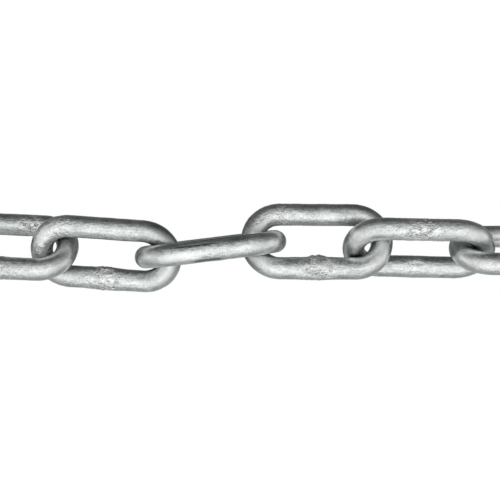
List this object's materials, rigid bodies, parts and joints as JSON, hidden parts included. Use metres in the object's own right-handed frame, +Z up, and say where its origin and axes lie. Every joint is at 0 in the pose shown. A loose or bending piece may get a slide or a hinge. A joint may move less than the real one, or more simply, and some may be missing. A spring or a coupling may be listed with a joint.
{
  "type": "galvanised steel chain",
  "caption": "Length of long-link welded round-steel chain, hot-dip galvanised, lying loosely drawn out in a slightly wavy line on the ground.",
  "frame": {"origin": "middle of the footprint, on the level floor that the chain lies on", "axes": "+X along the chain, +Y across it on the floor, +Z up"},
  "size_m": [0.9978, 0.048, 0.0363],
  "materials": {
    "galvanised_steel": "hot-dip galvanised, satin, slightly rough"
  },
  "bodies": {
    "root": {"link_01": "galvanised_steel", "link_02": "galvanised_steel", "link_03": "galvanised_steel", "link_04": "galvanised_steel", "link_05": "galvanised_steel", "link_06": "galvanised_steel", "link_07": "galvanised_steel", "link_08": "galvanised_steel", "link_09": "galvanised_steel", "link_10": "galvanised_steel", "link_11": "galvanised_steel", "link_12": "galvanised_steel", "link_13": "galvanised_steel", "link_14": "galvanised_steel", "link_15": "galvanised_steel", "link_16": "galvanised_steel", "link_17": "galvanised_steel", "link_18": "galvanised_steel", "link_19": "galvanised_steel", "link_20": "galvanised_steel"}
  },
  "joints": []
}
